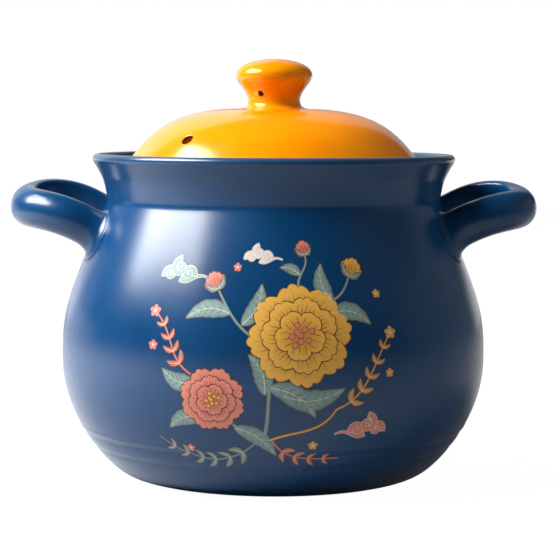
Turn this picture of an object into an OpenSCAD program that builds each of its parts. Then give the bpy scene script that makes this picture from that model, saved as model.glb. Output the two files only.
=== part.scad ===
// Chinese sand pot: a bellied stoneware cooking pot with a flared collar, two loop
// handles and a domed lid that seats on a ledge inside the collar.
// Millimetres, +Z up. The origin is the middle of the base, on the table, and -Y is the front.

/* [Pot body] */
// Radius of the flat foot that stands on the table
foot_radius = 69.5; // [60:0.5:78]
// Radius where the underside turns up into the belly
heel_radius = 95.2; // [90:0.2:100]
// Height where the underside turns up into the belly
heel_height = 10.8; // [8:0.2:14]
// Greatest radius of the belly
belly_radius = 120; // [112:1:130]
// Height of the greatest radius above the table
belly_height = 68; // [60:1:78]
// Radius of the groove between shoulder and collar
groove_radius = 94.3; // [91:0.1:98]
// Height of the groove above the table
groove_height = 156; // [148:1:166]
// Thickness of the wall
wall = 6.5; // [5:0.5:8]
// Thickness of the floor
floor_thickness = 8; // [6:0.5:11]
// Width of the ring that the foot stands on
foot_ring_width = 9; // [6:0.5:14]
// Depth of the hollow inside the foot ring
foot_hollow = 1.6; // [0.8:0.2:3]

/* [Collar and lid ledge] */
// Greatest radius of the rolled lip
lip_radius = 102.8; // [100:0.2:108]
// Height of the collar from the groove to the top of the lip
collar_height = 27.1; // [23:0.5:33]
// Thickness of the collar, and width of its rolled lip
collar_wall = 5.6; // [4.6:0.2:7]
// Depth of the lid ledge below the top of the lip
ledge_depth = 12; // [10:0.5:15]
// Width of the flat lid ledge between throat and collar
ledge_width = 11.9; // [10:0.1:13]
// Height of the upright band of the throat
throat_band = 6; // [4:0.5:8]

/* [Throwing rings near the foot] */
// Height of the upper ring that the thrower's fingers left
upper_ring_height = 27; // [24:0.5:34]
// Height of the lower one
lower_ring_height = 19; // [15:0.5:22]
// Depth of both
ring_dent = 0.4; // [0.2:0.1:0.8]

/* [Handles] */
// Height above the table where the middle of a handle meets the shoulder
handle_height = 143.5; // [136:0.5:148]
// How far the middle of the band reaches out from the shoulder
handle_reach = 40; // [34:0.2:50]
// How far the highest point of the loop stands above its root
handle_rise = 10.9; // [6:0.1:18]
// How far back from the tip of the loop its highest point lies
crest_setback = 6.6; // [0:0.2:10]
// Distance between the middles of the two arms of a loop
arm_spacing = 54; // [46:1:64]
// Length of the rounded bend at the tip of a loop
bend_length = 29; // [24:1:33]
// Height of the handle band
band_height = 22; // [18:0.5:25]
// How far the rounded outer side of the band swells from its middle
band_swell = 9.7; // [7:0.1:11]
// How far the flat inner side of the band lies from its middle
band_back = 3.8; // [3:0.1:5]
// Lean of the band at the tip of a loop, in degrees
band_lean = 12; // [0:1:20]
// Dip of each loop towards the front, in degrees
handle_dip = 7; // [0:0.5:10]
// How much the arms swell where they join the pot
root_swell = 2.6; // [0.5:0.1:4]
// Length over which the arms swell
root_length = 9; // [6:0.5:12]

/* [Lid] */
// Gap all round between the lid's edge and the collar
lid_gap = 5.9; // [3:0.1:7]
// Height of the lid's crown above the ledge that it sits on
lid_height = 37.5; // [32:0.5:43]
// Thickness of the dome
lid_wall = 6; // [5:0.5:7]
// Radius of the rounding on the lid's edge
edge_radius = 2.2; // [1.6:0.1:3]
// Gap all round between the locating ring and the throat
ring_clearance = 2.5; // [1.5:0.1:4]
// Thickness of the locating ring
ring_wall = 5; // [4:0.2:6]
// Depth of the locating ring below the ledge
ring_depth = 8; // [6:0.5:11]
// Diameter of the steam vent
vent_diameter = 6; // [3:0.5:8]
// Distance of the steam vent from the lid's axis
vent_distance = 71.4; // [62:0.2:74]
// Turn of the steam vent from the front towards the left, in degrees
vent_turn = 41; // [0:1:90]

/* [Lid knob] */
// Greatest radius of the knob's head
knob_radius = 21.6; // [19:0.1:26]
// Radius of the knob's neck
knob_neck_radius = 14.8; // [13.5:0.1:17]
// Height of the knob above the lid's crown
knob_height = 28; // [24:0.5:34]
// Thickness of the knob's wall
knob_wall = 6; // [4.5:0.5:7]
// Radius of the knob's foot on the crown
knob_foot_radius = 17.6; // [17.2:0.1:20]
// Diameter of the pin hole that lets air out of the hollow knob
pin_diameter = 3; // [1.4:0.2:4]
// Turn of the pin hole from the front towards the left, in degrees
pin_turn = 28; // [0:1:90]

/* [Hidden] */
$fn = 128;
curve_steps = 16;
section_sides = 24;
arm_steps = 7;
bend_steps = 26;

lip_round = collar_wall / 2;
rim_height = groove_height + collar_height;
ledge_height = rim_height - ledge_depth;
crown_height = ledge_height + lid_height;

// A point on the cubic curve through the first and last of four points.
function on_curve(p, t) =
    pow(1 - t, 3) * p[0] + 3 * t * pow(1 - t, 2) * p[1]
    + 3 * t * t * (1 - t) * p[2] + pow(t, 3) * p[3];

// The direction of travel along that curve.
function along(p, t) =
    pow(1 - t, 2) * (p[1] - p[0]) + 2 * t * (1 - t) * (p[2] - p[1])
    + t * t * (p[3] - p[2]);

// A unit vector square to a direction, to its right.
function right_of(d) = [d[1], -d[0]] / norm(d);

// Evenly stepped points along a curve.
function points(p, n = curve_steps) = [for (i = [0:n]) on_curve(p, i / n)];

// The same points moved to the left by a distance that goes from one value to another.
function inset(p, from, to, n = curve_steps) = [for (i = [0:n])
    on_curve(p, i / n) - (from + (to - from) * i / n) * right_of(along(p, i / n))];

function backwards(list) = [for (i = [len(list) - 1:-1:0]) list[i]];

// Outer side of the pot, from the foot up to the lip, as radius and height.
heel = [heel_radius, heel_height];
foot_curve = [
    [foot_radius, 0],
    [foot_radius + 0.55 * (heel_radius - foot_radius), 0],
    heel - 0.55 * heel_height * [1, 1],
    heel
];
belly_curve = [
    heel,
    heel + 0.41 * heel_height * [1, 1],
    [belly_radius, belly_height - 30.6],
    [belly_radius, belly_height]
];
shoulder_direction = [0.396, -0.918];
shoulder_curve = [
    [belly_radius, belly_height],
    [belly_radius, belly_height + 25.8],
    [groove_radius, groove_height] + 61.4 * shoulder_direction,
    [groove_radius, groove_height]
];

// The collar leans out to the lip, and meets its round side on.
flare_angle = 33;
lip_middle = [lip_radius - lip_round, rim_height - lip_round];
collar_top = lip_middle + lip_round * [cos(flare_angle), -sin(flare_angle)];
flare_direction = [sin(flare_angle), cos(flare_angle)];
collar_curve = [
    [groove_radius, groove_height],
    [groove_radius + 0.8, groove_height + 0.35 * collar_height],
    collar_top - 0.33 * collar_height * flare_direction,
    collar_top
];

// How far the outside is pressed in at a height, by the two throwing rings.
function dent(z, middle, depth, half_width) =
    depth * max(0, 1 - pow((z - middle) / half_width, 2));
function pressed(z) =
    dent(z, upper_ring_height, ring_dent, 2.6)
    + dent(z, lower_ring_height, ring_dent, 2.6);

// Points along a curve of the outer side, pressed in by the rings.
function thrown(p, n = curve_steps) = [for (i = [0:n])
    let (q = on_curve(p, i / n))
    q - pressed(q[1]) * right_of(along(p, i / n))];

outer_side = concat(points(foot_curve), thrown(belly_curve, 2 * curve_steps),
    points(shoulder_curve), points(collar_curve));

// Outer radius of the pot at a height.
function outer_radius(z) = lookup(z, [for (p = outer_side) [p[1], p[0]]]);

// Inner side of the pot: floor, belly, shoulder, throat, ledge and collar.
inner_collar = [for (p = inset(collar_curve, collar_wall, collar_wall))
    if (p[1] > ledge_height + 0.4) p];
ledge_outer = inner_collar[0][0];
throat_radius = ledge_outer - ledge_width;
inner_shoulder = [for (p = inset(shoulder_curve, wall, wall))
    if (p[1] < ledge_height - throat_band - 12) p];
inner_side = concat(
    [[0, floor_thickness]],
    inset(foot_curve, floor_thickness, wall),
    inset(belly_curve, wall, wall),
    inner_shoulder,
    [[throat_radius, ledge_height - throat_band], [throat_radius, ledge_height - 1.2],
     [throat_radius + 1.2, ledge_height], [ledge_outer - 1, ledge_height]],
    inner_collar
);

// The foot stands on a ring, with a shallow hollow inside it.
hollow_radius = foot_radius - foot_ring_width;
foot_profile = [[0, foot_hollow], [hollow_radius - 4, foot_hollow], [hollow_radius, 0]];

module pot_body() {
    color("#1b3f73")
    rotate_extrude() {
        polygon(concat(foot_profile, outer_side, backwards(inner_side)));
        translate(lip_middle) circle(r = lip_round);
    }
}

// The whole space inside the pot's outer side, which the handles are cut to.
module pot_outside() {
    rotate_extrude()
    polygon(concat([[0, 0]], outer_side, [[0, rim_height - lip_round]]));
}

// Plan of one loop: out along the front arm, round the bend and back, as reach and side.
shoulder_radius = outer_radius(handle_height);
tip_radius = shoulder_radius + handle_reach;
bend_start = tip_radius - bend_length;
root_reach = sqrt(pow(shoulder_radius, 2) - pow(arm_spacing / 2, 2));
arm_start = root_reach - 9;
half_spacing = arm_spacing / 2;
front_arm = [for (i = [0:arm_steps - 1])
    [arm_start + (bend_start - arm_start) * i / arm_steps, -half_spacing]];
bend = [for (i = [0:bend_steps])
    let (a = -90 + 180 * i / bend_steps)
    [bend_start + bend_length * cos(a), half_spacing * sin(a)]];
rear_arm = [for (p = backwards(front_arm)) [p[0], -p[1]]];
loop_plan = concat(front_arm, bend, rear_arm);

// The loop climbs in an arch from its root to its crest, and drops a little to its tip.
crest_radius = tip_radius - crest_setback;
crest_reach = crest_radius - shoulder_radius;
function fall(u) = handle_rise * pow((crest_radius - u) / crest_reach, 2);
function climb_angle(u) =
    atan(2 * handle_rise * max(0, crest_radius - u) / pow(crest_reach, 2));
function band_angle(u) =
    climb_angle(u) + band_lean * max(0, 1 - (tip_radius - u) / handle_reach);
path = [for (p = loop_plan) [p[0], p[1], handle_height + handle_rise - fall(p[0])]];

// How much the band swells near the pot.
function swell(u) =
    root_swell * pow(min(1, max(0, 1 - (u - root_reach) / root_length)), 2);

// Section of the band: a round outer side and a flat inner side with tight corners.
function band_point(a, grow) =
    let (c = cos(a), s = sin(a), half = band_height / 2 + grow)
    c >= 0
        ? [(band_swell + grow) * c, half * s]
        : [-(band_back + grow) * pow(-c, 0.45), half * sign(s) * pow(abs(s), 0.45)];

function unit(v) = v / norm(v);
function ring(i) =
    let (
        here = path[i],
        travel = unit(path[min(i + 1, len(path) - 1)] - path[max(i - 1, 0)]),
        tilt = band_angle(here[0]),
        square = [-sin(tilt), 0, cos(tilt)],
        up = unit(square - (square * travel) * travel),
        out = cross(travel, up),
        grow = swell(here[0])
    )
    [for (k = [0:section_sides - 1])
        let (q = band_point(360 * (k + 0.5) / section_sides, grow))
        here + q[0] * out + q[1] * up];

// Each loop dips a little towards the front, about its own outward axis.
dip_height = handle_height + handle_rise / 2;
function dipped(p) = [
    p[0],
    p[1] * cos(handle_dip) - (p[2] - dip_height) * sin(handle_dip),
    dip_height + p[1] * sin(handle_dip) + (p[2] - dip_height) * cos(handle_dip)
];

ring_count = len(path);
loop_points = [for (i = [0:ring_count - 1]) for (p = ring(i)) dipped(p)];
loop_faces = concat(
    [[for (k = [0:section_sides - 1]) k]],
    [[for (k = [section_sides - 1:-1:0]) (ring_count - 1) * section_sides + k]],
    [for (i = [0:ring_count - 2]) for (k = [0:section_sides - 1])
        let (a = i * section_sides + k, b = i * section_sides + (k + 1) % section_sides)
        each [[a, a + section_sides, b], [b, a + section_sides, b + section_sides]]]
);

module loop_handle() {
    difference() {
        polyhedron(loop_points, loop_faces, convexity = 6);
        pot_outside();
    }
}

module left_handle() {
    color("#1b3f73") mirror([1, 0, 0]) loop_handle();
}

module right_handle() {
    color("#1b3f73") loop_handle();
}

// Outer side of the dome, from the edge of the flat crown down to the rounded edge.
edge_slope = 51;
lid_radius = ledge_outer - lid_gap;
edge_middle = [lid_radius - edge_radius, ledge_height + edge_radius];
dome_end = edge_middle + edge_radius * [sin(edge_slope), cos(edge_slope)];
dome_curve = [
    dome_end,
    dome_end + 0.24 * lid_radius * [-cos(edge_slope), sin(edge_slope)],
    [0.74 * lid_radius, crown_height],
    [knob_foot_radius, crown_height]
];
dome_inside = [for (p = inset(dome_curve, lid_wall, lid_wall)) if (p[1] > ledge_height) p];
ring_outer = throat_radius - ring_clearance;
ring_inner = ring_outer - ring_wall;
ring_end = ledge_height - ring_depth + ring_wall / 2;
ring_root = lookup(ring_inner, backwards(dome_inside)) + lid_wall / 4;

// Where the steam vent goes through the dome, and the way the dome faces there.
dome_points = points(dome_curve, 60);
vent_height = lookup(vent_distance, [for (p = backwards(dome_points)) p]);
vent_below = lookup(vent_distance + 1, [for (p = backwards(dome_points)) p]);
vent_lean = atan(vent_height - vent_below);

module lid_shell() {
    rotate_extrude() {
        polygon(concat(
            [[0, crown_height - lid_wall]],
            backwards(dome_inside),
            [[dome_inside[0][0], ledge_height], [edge_middle[0], ledge_height]],
            [edge_middle],
            points(dome_curve),
            [[0, crown_height]]
        ));
        translate(edge_middle) circle(r = edge_radius);
        translate([ring_inner, ring_end]) square([ring_wall, ring_root - ring_end]);
        translate([ring_inner + ring_wall / 2, ring_end]) circle(d = ring_wall);
    }
}

module lid() {
    color("#f0a21c")
    difference() {
        lid_shell();
        rotate([0, 0, -90 - vent_turn])
            translate([vent_distance, 0, vent_height])
            rotate([0, vent_lean, 0])
            cylinder(d = vent_diameter, h = 6 * lid_wall, center = true);
    }
}

// The knob: a waisted neck under a flattened head, hollow inside.
knob_top = crown_height + knob_height;
waist_height = crown_height + 0.13 * knob_height;
head_height = crown_height + 0.67 * knob_height;
knob_foot_curve = [
    [knob_foot_radius, crown_height],
    [knob_foot_radius - 1.4, crown_height + 0.6],
    [knob_neck_radius, waist_height - 1.8],
    [knob_neck_radius, waist_height]
];
knob_neck_curve = [
    [knob_neck_radius, waist_height],
    [knob_neck_radius, waist_height + 0.27 * knob_height],
    [knob_radius, head_height - 0.17 * knob_height],
    [knob_radius, head_height]
];
knob_head_curve = [
    [knob_radius, head_height],
    [knob_radius, head_height + 0.53 * (knob_top - head_height)],
    [0.66 * knob_radius, knob_top],
    [0, knob_top]
];
hollow_neck = knob_neck_radius - knob_wall;
hollow_head = knob_radius - knob_wall - 1.5;
hollow_top = knob_top - knob_wall;
pin_height = crown_height + 0.3 * knob_height;

module lid_knob() {
    color("#f0a21c")
    difference() {
        rotate_extrude()
        polygon(concat(
            [[0, crown_height]],
            points(knob_foot_curve, 6),
            points(knob_neck_curve, 10),
            points(knob_head_curve, 10)
        ));
        rotate_extrude()
        polygon([
            [0, crown_height - 1],
            [hollow_neck, crown_height - 1],
            [hollow_neck, waist_height + 0.2 * knob_height],
            [hollow_head, head_height],
            [hollow_head - 2.5, hollow_top - 0.7],
            [hollow_head - 6, hollow_top],
            [0, hollow_top]
        ]);
        rotate([0, 0, -90 - pin_turn])
            translate([0, 0, pin_height])
            rotate([0, 90, 0])
            cylinder(d = pin_diameter, h = 2 * knob_radius);
    }
}

pot_body();
left_handle();
right_handle();
lid();
lid_knob();
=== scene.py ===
"""Chinese sand pot: its glazes, painted decoration, studio light and camera.

Sizes are in millimetres, and turn to metres where a mesh is made. +Z is up, and -Y is the
front of the pot, where the decoration is.
"""
from __future__ import annotations

import logging
import math
from dataclasses import dataclass, field
from enum import Enum
from typing import Any, Sequence

import bmesh
import bpy
import numpy as np
from mathutils import Matrix, Vector

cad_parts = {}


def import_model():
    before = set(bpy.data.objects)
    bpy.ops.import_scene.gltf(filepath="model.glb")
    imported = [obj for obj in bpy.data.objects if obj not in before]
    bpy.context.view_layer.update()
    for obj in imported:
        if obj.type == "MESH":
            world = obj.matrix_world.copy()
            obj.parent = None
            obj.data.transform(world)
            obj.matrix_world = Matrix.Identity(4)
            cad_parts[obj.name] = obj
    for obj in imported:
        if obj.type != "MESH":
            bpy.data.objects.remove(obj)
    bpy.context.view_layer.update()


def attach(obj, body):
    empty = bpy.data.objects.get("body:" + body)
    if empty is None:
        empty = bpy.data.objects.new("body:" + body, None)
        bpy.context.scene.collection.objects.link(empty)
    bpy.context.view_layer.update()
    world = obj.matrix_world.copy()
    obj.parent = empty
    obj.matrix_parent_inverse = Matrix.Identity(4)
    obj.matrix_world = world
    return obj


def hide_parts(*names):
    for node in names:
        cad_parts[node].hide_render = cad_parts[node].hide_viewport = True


Array = np.ndarray
Pair = tuple[float, float]
Point = Pair | np.ndarray
Bell = tuple[float, float, float]
Piece = bpy.types.Object
Tree = bpy.types.NodeTree

# Metres in a millimetre, and millimetres between the points of a profile.
MM = 0.001
FINE = 0.2
log = logging.getLogger("sand_pot")


class Body(Enum):
    """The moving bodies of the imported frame."""

    POT = "pot"
    LID = "lid"


class Slot(Enum):
    """The material slots of the record."""

    NAVY = "navy_glaze"
    YELLOW = "yellow_glaze"


class Side(Enum):
    """The side of the pot that a handle is on, as the sign of X."""

    LEFT = -1
    RIGHT = 1


class Cover(Enum):
    """What lies on a stretch of a turned form, as the name of a vertex attribute."""

    LINER = "liner"
    BARE = "bare"
    # Thin glaze over edges; on the pot's lip also a painted reflection, and round the lid's vent a
    # painted highlight.
    THIN = "thin"
    # Painted shade, dark brown, in and round the vent and the knob's pin hole.
    STAIN = "stain"


def linear(colour: str) -> tuple[float, float, float, float]:
    """Turn an sRGB hex colour into linear light.

    A channel up to 0.04045 is divided by 12.92. Above that it gets 0.055 added, is divided by
    1.055 and raised to the power of 2.4.

    Args:
        colour: six hex digits after a hash sign.

    Returns:
        Red, green and blue in linear light, and an alpha of one.
    """
    channels = [int(colour[i:i + 2], 16) / 255 for i in (1, 3, 5)]
    light = [c / 12.92 if c <= 0.04045 else ((c + 0.055) / 1.055) ** 2.4 for c in channels]
    return (light[0], light[1], light[2], 1.0)


def bell(value: Array, middle: float, width: float) -> Array:
    """A bell that is one at its middle: e to the minus square of the distance over the width."""
    return np.exp(-((value - middle) / width) ** 2)


def smooth(value: Array) -> Array:
    """Ease from nought to one with level ends: three times the square less twice the cube."""
    held = np.clip(value, 0.0, 1.0)
    return held * held * (3 - 2 * held)


def crowded(start: float, stop: float, count: int,
            places: Sequence[Bell] = ()) -> Array:
    """Values that rise from start to stop and lie closer together near some places.

    The density is one, and each place adds its gain times a bell. The running sum of the
    density is read the other way round at even steps.

    Args:
        start: the first value.
        stop: the last value.
        count: how many values.
        places: middle, width and gain of each bell.

    Returns:
        The values, in one array.
    """
    line = np.linspace(start, stop, 4001)
    density = np.ones_like(line) + sum(
        gain * bell(line, middle, width) for middle, width, gain in places)
    total = np.concatenate([[0.0], np.cumsum((density[1:] + density[:-1]) / 2)])
    return np.interp(np.linspace(0.0, total[-1], count), total, line)


@dataclass(frozen=True)
class Cubic:
    """A cubic curve from the first of four points to the last, as radius and height."""

    first: Point
    leaving: Point
    arriving: Point
    last: Point

    def points(self, steps: int = 60, inset: Pair = (0.0, 0.0)) -> Array:
        """Points on the curve, or beside it.

        The four points are weighed by (1-t) cubed, 3t times (1-t) squared, 3t squared times
        (1-t), and t cubed. An inset moves them square to the curve, to the left of its run.

        Args:
            steps: how many steps from one end to the other.
            inset: how far the first point and the last point move.

        Returns:
            An array of radius and height.
        """
        t = np.linspace(0.0, 1.0, steps + 1)[:, None]
        a, b, c, d = (np.array(p) for p in (self.first, self.leaving, self.arriving, self.last))
        run = (1 - t) ** 2 * (b - a) + 2 * t * (1 - t) * (c - b) + t * t * (d - c)
        run /= np.linalg.norm(run, axis=1, keepdims=True)
        return ((1 - t) ** 3 * a + 3 * t * (1 - t) ** 2 * b + 3 * t * t * (1 - t) * c
                + t ** 3 * d + (inset[0] + (inset[1] - inset[0]) * t) * run[:, ::-1] * (-1, 1))


class Profile:
    """The line that a turned form is made from, measured along its length.

    It runs from the axis to the axis with the clay on its left, as radius and height.
    """

    def __init__(self, runs: dict[str, Array], softness: float) -> None:
        """Join the runs, and round their corners as a glaze does.

        Args:
            runs: the points of each named stretch, in order.
            softness: width of the bell.
        """
        line = np.concatenate([np.asarray(run, float) for run in runs.values()])
        along = np.concatenate([[0.0], np.cumsum(np.hypot(*np.diff(line, axis=0).T))])
        ends = np.cumsum([len(run) for run in runs.values()]) - 1
        starts = np.concatenate([[0], ends[:-1] + 1])
        self.marks = {name: (along[a], along[b]) for name, a, b in zip(runs, starts, ends)}
        self.length = float(along[-1])
        self.along = np.linspace(0.0, self.length, int(self.length / FINE) + 1)
        self.line = np.stack([np.interp(self.along, along, line[:, k]) for k in (0, 1)], axis=1)
        self._soften(softness)

    def _soften(self, softness: float) -> None:
        """Round the corners of the line.

        Each point becomes the mean of its neighbours along the line, weighed by a bell. Beyond
        the axis the line goes on as its mirror image, so that the poles stay level.

        Args:
            softness: width of the bell.
        """
        reach = int(4 * softness / FINE)
        weights = bell(np.arange(-reach, reach + 1) * FINE, 0.0, softness * math.sqrt(2))
        weights /= weights.sum()
        before = self.line[reach:0:-1] * (-1, 1)
        after = self.line[-2:-2 - reach:-1] * (-1, 1)
        padded = np.concatenate([before, self.line, after])
        self.line = np.stack(
            [np.convolve(padded[:, k], weights, mode="valid") for k in (0, 1)], axis=1)
        self.line[[0, -1], 0] = 0.0

    def outward(self) -> Array:
        """The direction out of the clay, which is to the right of the way that it runs.

        Returns:
            A unit vector at each point, as radius and height.
        """
        run = np.gradient(self.line, axis=0)
        run /= np.linalg.norm(run, axis=1, keepdims=True)
        return run[:, ::-1] * (1, -1)

    def throw(self, bands: Sequence[Bell]) -> None:
        """Raise or press bands into the form, as fingers and tools do on the wheel.

        Args:
            bands: where each lies along the line, how far it stands out, and its width.
        """
        rise = sum(out * bell(self.along, middle, width) for middle, out, width in bands)
        self.line = self.line + self.outward() * np.asarray(rise)[:, None]

    def at(self, along: Array) -> tuple[Array, Array]:
        """Radius and height at given lengths along the line."""
        return (np.interp(along, self.along, self.line[:, 0]),
                np.interp(along, self.along, self.line[:, 1]))

    def where(self, height: float, name: str) -> float:
        """Find where a named run, which rises or falls all the way, is at a height.

        Args:
            height: the height.
            name: the run.

        Returns:
            The length along the line.
        """
        start, stop = self.marks[name]
        inside = (self.along >= start) & (self.along <= stop)
        heights, along = self.line[inside, 1], self.along[inside]
        order = np.argsort(heights)
        return float(np.interp(height, heights[order], along[order]))


def place(radius: Array, height: Array, turn: Array) -> Array:
    """Points at a radius, a height and a turn from the front towards the right."""
    return np.stack([radius * np.sin(turn), -radius * np.cos(turn), height + 0 * turn], axis=-1)


def arc(middle: Array, radius: float, start: float, stop: float, steps: int) -> Array:
    """Points on a circle, by the cosine and sine of even angles from start to stop."""
    angle = np.linspace(start, stop, steps + 1)[:, None]
    return middle + radius * np.concatenate([np.cos(angle), np.sin(angle)], axis=1)


def polar(middle: Sequence[float], far: float, way: float) -> Pair:
    """The point at a distance from a middle, in a direction in radians."""
    return middle[0] + far * math.cos(way), middle[1] + far * math.sin(way)


def closed(grid: Array) -> Array:
    """A grid of point numbers with its first column again after its last."""
    return np.concatenate([grid, grid[:, :1]], axis=1)


def cells(grid: Array) -> Array:
    """The faces between the neighbours of a grid of point numbers."""
    return np.stack([grid[:-1, :-1], grid[:-1, 1:], grid[1:, 1:], grid[1:, :-1]],
                    axis=-1).reshape(-1, 4)


def fan(pole: int, ring: Array) -> Array:
    """Triangles from one point to each side of a closed ring of point numbers."""
    return np.stack([np.full(len(ring), pole), ring, np.roll(ring, -1)], axis=1)


@dataclass(frozen=True)
class Bore:
    """A round hole through the wall of a turned form, with softened edges.

    outer and inner are the lengths along the profile where it opens on either side.
    """

    outer: float
    inner: float
    turn: float
    radius: float
    edge: float


class TurnedForm:
    """A closed form turned from a profile, with a bore through its wall if it has one.

    A bore leaves out the cells of the grid up to HALF cells from its middle on either side,
    and turns the squares of points round it to circles as far as REACH cells away. GATHER is
    how wide, in radians, and how much the columns crowd there.
    """

    HALF = 3
    REACH = 9
    GATHER = (0.16, 3.4)

    def __init__(self, profile: Profile, rows: int, columns: int, places: Sequence[Bell],
                 bore: Bore | None = None) -> None:
        """Work out the points, their lengths along the profile, and the faces.

        Args:
            profile: the line that is turned.
            rows: how many points lie along it.
            columns: how many lie round the axis.
            places: where the rows lie closer together, as crowded takes them.
            bore: a hole, round which the columns lie closer too.
        """
        self.profile = profile
        self.rows = crowded(0.0, profile.length, rows, places)[1:-1]
        aim = bore.turn if bore else 0.0
        gather = [(aim + math.pi, *self.GATHER)] if bore else []
        self.turns = crowded(0.0, 2 * math.pi, columns + 1, gather)[:-1] - math.pi
        if bore:
            self.turns = self.turns + aim - self.turns[np.argmin(abs(self.turns - aim))]
        self.along, self.turn = np.meshgrid(self.rows, self.turns, indexing="ij")
        self.numbers = 1 + np.arange(self.along.size).reshape(self.along.shape)
        self.solid = np.ones((len(self.rows) - 1, columns), bool)
        wall, wall_faces = self._pierce(bore) if bore else (np.zeros((0, 3)),
                                                            np.zeros((0, 4), int))
        grid = self.surface(self.along, self.turn).reshape(-1, 3)
        first, last = (self.surface(end, 0.0)[None] for end in (0.0, profile.length))
        self.points = np.concatenate([first, grid, last, wall])
        self.lengths = np.concatenate([[0.0], self.along.ravel(), [profile.length],
                                       np.full(len(wall), bore.outer if bore else 0.0)])
        quads = cells(closed(self.numbers))[self.solid.ravel()]
        self.faces = [np.concatenate([quads, wall_faces]),
                      np.concatenate([fan(0, self.numbers[0, ::-1]),
                                      fan(len(grid) + 1, self.numbers[-1])])]

    def surface(self, along: Array | float, turn: Array | float) -> Array:
        """Points on the form at lengths along the profile and turns round the axis."""
        return place(*self.profile.at(along), turn)

    def _border(self) -> tuple[Array, Array]:
        """Go round the border of the gap at a mouth.

        Returns:
            Steps across and down from its middle to each point, in order.
        """
        edge, full = np.arange(-self.HALF, self.HALF), np.full(2 * self.HALF, self.HALF)
        return (np.concatenate([edge, full, -edge, -full]),
                np.concatenate([-full, edge, full, -edge]))

    def _open(self, centre: float, bore: Bore, way: int) -> Array:
        """Open the grid round one mouth of a bore.

        Each square of points round the gap turns to a circle, which eases back to the square
        grid by the outermost of them.

        Args:
            centre: length along the profile at the middle of the mouth.
            bore: the hole.
            way: one where the profile rises there, minus one where it falls.

        Returns:
            The numbers of the border's points, in order.
        """
        middle = int(np.argmin(abs(self.rows - centre)))
        column = int(np.argmin(abs(self.turns - bore.turn)))
        radius = self.profile.at(centre)[0]
        rows, columns = self.along.shape
        down = np.arange(rows)[:, None] - middle
        side = (np.arange(columns)[None] - column + columns // 2) % columns - columns // 2
        ring = np.maximum(abs(down), abs(side))
        away = np.maximum(np.hypot(down, side), 1e-9)
        size = (bore.radius + bore.edge) * ring / self.HALF
        ease = smooth((ring - self.HALF) / (self.REACH - self.HALF))
        near = (ring <= self.REACH) & (ring >= self.HALF)
        across = (1 - ease) * size * side / away + ease * ((self.turn - bore.turn) * radius)
        rise = (1 - ease) * size * down / away + ease * (self.along - centre)
        self.along = np.where(near, centre + rise, self.along)
        self.turn = np.where(near, bore.turn + across / radius, self.turn)
        low, left = middle - self.HALF, column - self.HALF
        self.solid[low:low + 2 * self.HALF, left:left + 2 * self.HALF] = False
        aside, below = self._border()
        return self.numbers[middle + way * below, (column + aside) % columns]

    def _pierce(self, bore: Bore) -> tuple[Array, Array]:
        """Join the two mouths of a bore by its wall.

        The rings go in from each border on a quarter circle, whose radius is the edge's, and
        then straight across from one side to the other.

        Args:
            bore: the hole.

        Returns:
            The wall's points and faces.
        """
        across, rise = (step / np.hypot(*self._border()) for step in self._border())
        outer, inner = (self.surface(end, bore.turn) for end in (bore.outer, bore.inner))
        axis = (outer - inner) / np.linalg.norm(outer - inner)
        angles = np.radians([22.5, 45.0, 67.5, 90.0])[:, None]
        size = bore.radius + bore.edge * (1 - np.sin(angles))
        deep = bore.edge * (1 - np.cos(angles))[..., None]
        borders, rings = [], []
        for centre, way in ((bore.outer, 1), (bore.inner, -1)):
            borders.append(self._open(centre, bore, way)[None])
            radius = self.profile.at(centre)[0]
            rings.append(self.surface(centre + way * rise * size, bore.turn
                                      + across * size / radius) - way * axis * deep)
        share = np.linspace(0.0, 1.0, 6)[1:-1, None, None]
        between = rings[0][-1] * (1 - share) + rings[1][-1] * share
        wall = np.concatenate([rings[0], between, rings[1][::-1]])
        numbers = self.along.size + 2 + np.arange(wall[..., 0].size).reshape(wall.shape[:2])
        grid = np.concatenate([borders[0], numbers, borders[1]])
        return wall.reshape(-1, 3), cells(closed(grid))

    def away(self, bore: Bore) -> Array:
        """How far each point lies from the middle of a bore's outer mouth."""
        return np.linalg.norm(self.points - self.surface(bore.outer, bore.turn), axis=1)

    def piece(self, name: str, covers: dict[Cover, Array]) -> Piece:
        """Make the form's object, with the covers that lie on it."""
        return new_piece(name, self.points, self.faces, all_covers(len(self.points), covers))


def all_covers(count: int, known: dict[Cover, Array]) -> dict[str, Array]:
    """A value at each point for every cover: nought where a piece says nothing of it.

    Args:
        count: how many points the piece has.
        known: the values of the covers that it has.

    Returns:
        The values by the name of their attribute.
    """
    return {cover.value: known.get(cover, np.zeros(count)) for cover in Cover}


def new_piece(name: str, points: Array, faces: Sequence[Array],
              attributes: dict[str, Array] | None = None, sharp: float = 0.0) -> Piece:
    """Make a smooth mesh object at the origin.

    Points that no face uses are left out, and faces are turned outwards.

    Args:
        name: the name of the piece.
        points: corners in millimetres.
        faces: arrays of corner numbers, one array for each number of corners.
        attributes: a value at each point, by name.
        sharp: the angle in degrees from which an edge stays sharp, or nought for none.

    Returns:
        The object, in the scene.
    """
    used = np.unique(np.concatenate([f.ravel() for f in faces]))
    number = np.zeros(len(points), int)
    number[used] = np.arange(len(used))
    mesh = bpy.data.meshes.new(name)
    mesh.from_pydata((points[used] * MM).tolist(), [],
                     [face for array in faces for face in number[array].tolist()])
    for key, values in (attributes or {}).items():
        layer = mesh.attributes.new(key, "FLOAT", "POINT")
        layer.data.foreach_set("value", values[used].astype(np.float32))
    bm = bmesh.new()
    bm.from_mesh(mesh)
    bmesh.ops.recalc_face_normals(bm, faces=bm.faces)
    bm.to_mesh(mesh)
    bm.free()
    mesh.shade_smooth()
    if sharp:
        mesh.set_sharp_from_angle(angle=math.radians(sharp))
    piece = bpy.data.objects.new(name, mesh)
    bpy.context.scene.collection.objects.link(piece)
    return piece


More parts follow.
